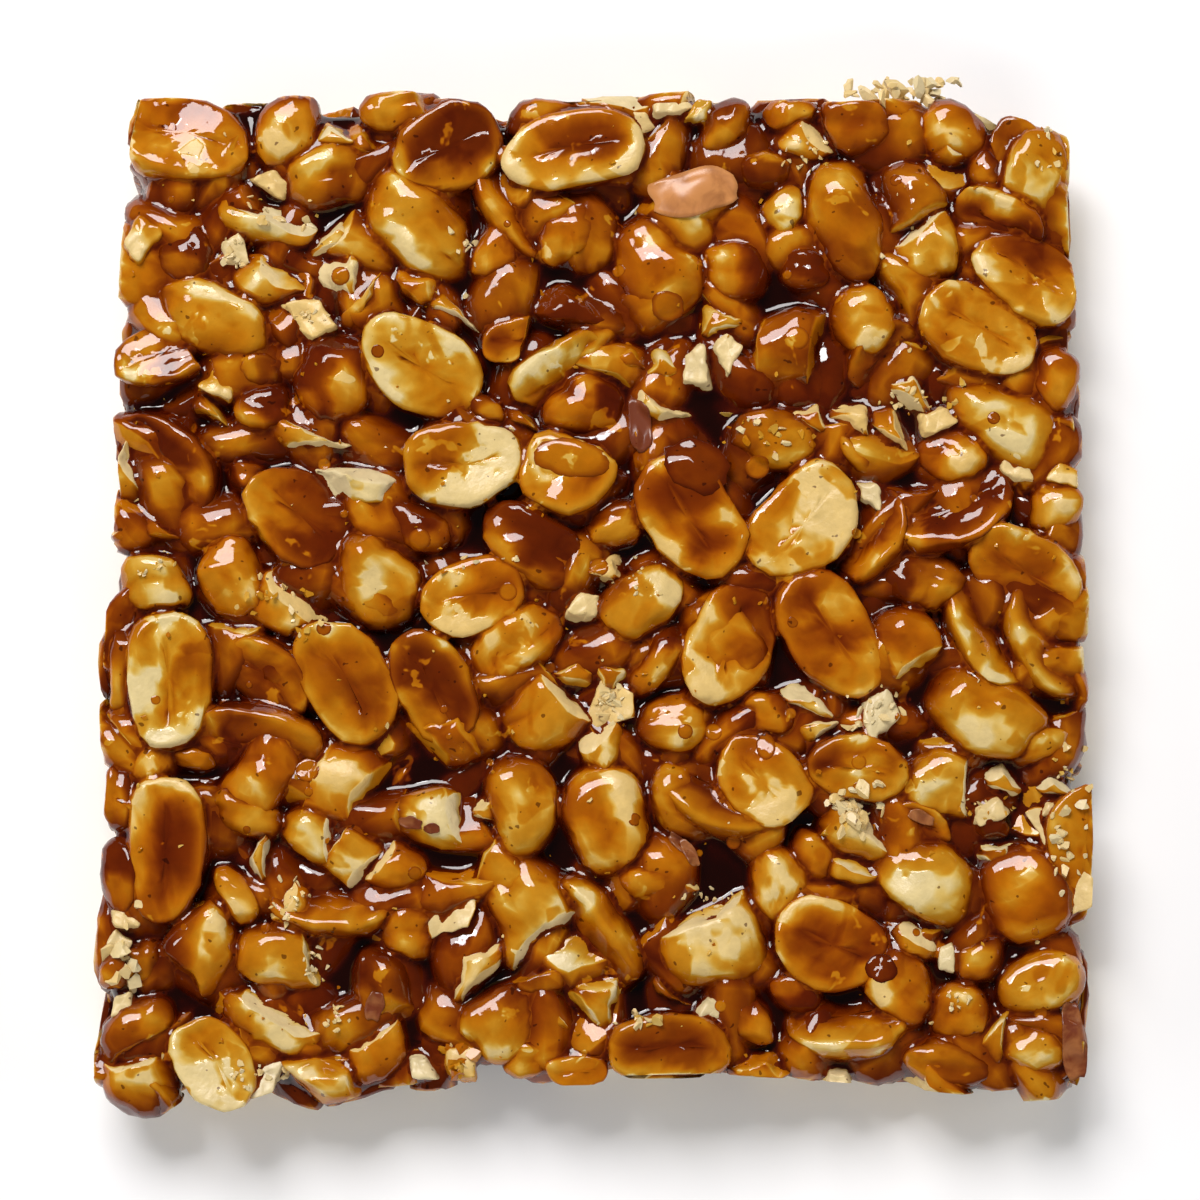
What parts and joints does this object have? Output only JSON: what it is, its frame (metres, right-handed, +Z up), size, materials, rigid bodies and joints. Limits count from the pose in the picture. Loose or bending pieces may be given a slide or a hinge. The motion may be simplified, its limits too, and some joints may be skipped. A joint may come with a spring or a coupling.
{
  "type": "peanut brittle slab",
  "caption": "Square slab of peanut brittle: roasted peanut halves and broken pieces set flush in hard amber syrup, with a lumpy top, cut sides and a flat foot.",
  "frame": {"origin": "middle of the bottom of the slab's box, on the flat face it rests on", "axes": "+Z up out of the lumpy top, +Y towards the back edge, +X towards the right edge"},
  "size_m": [0.1026, 0.1052, 0.0109],
  "materials": {
    "brittle": "clear amber boiled sugar with a wet-looking gloss",
    "peanut": "roasted cream nut under a thin coat of amber syrup",
    "broken_nut": "dry pale broken nut, slightly rough",
    "skin": "papery red-brown nut skin"
  },
  "bodies": {
    "root": {"peanut_brittle_slab": "brittle"}
  },
  "joints": []
}
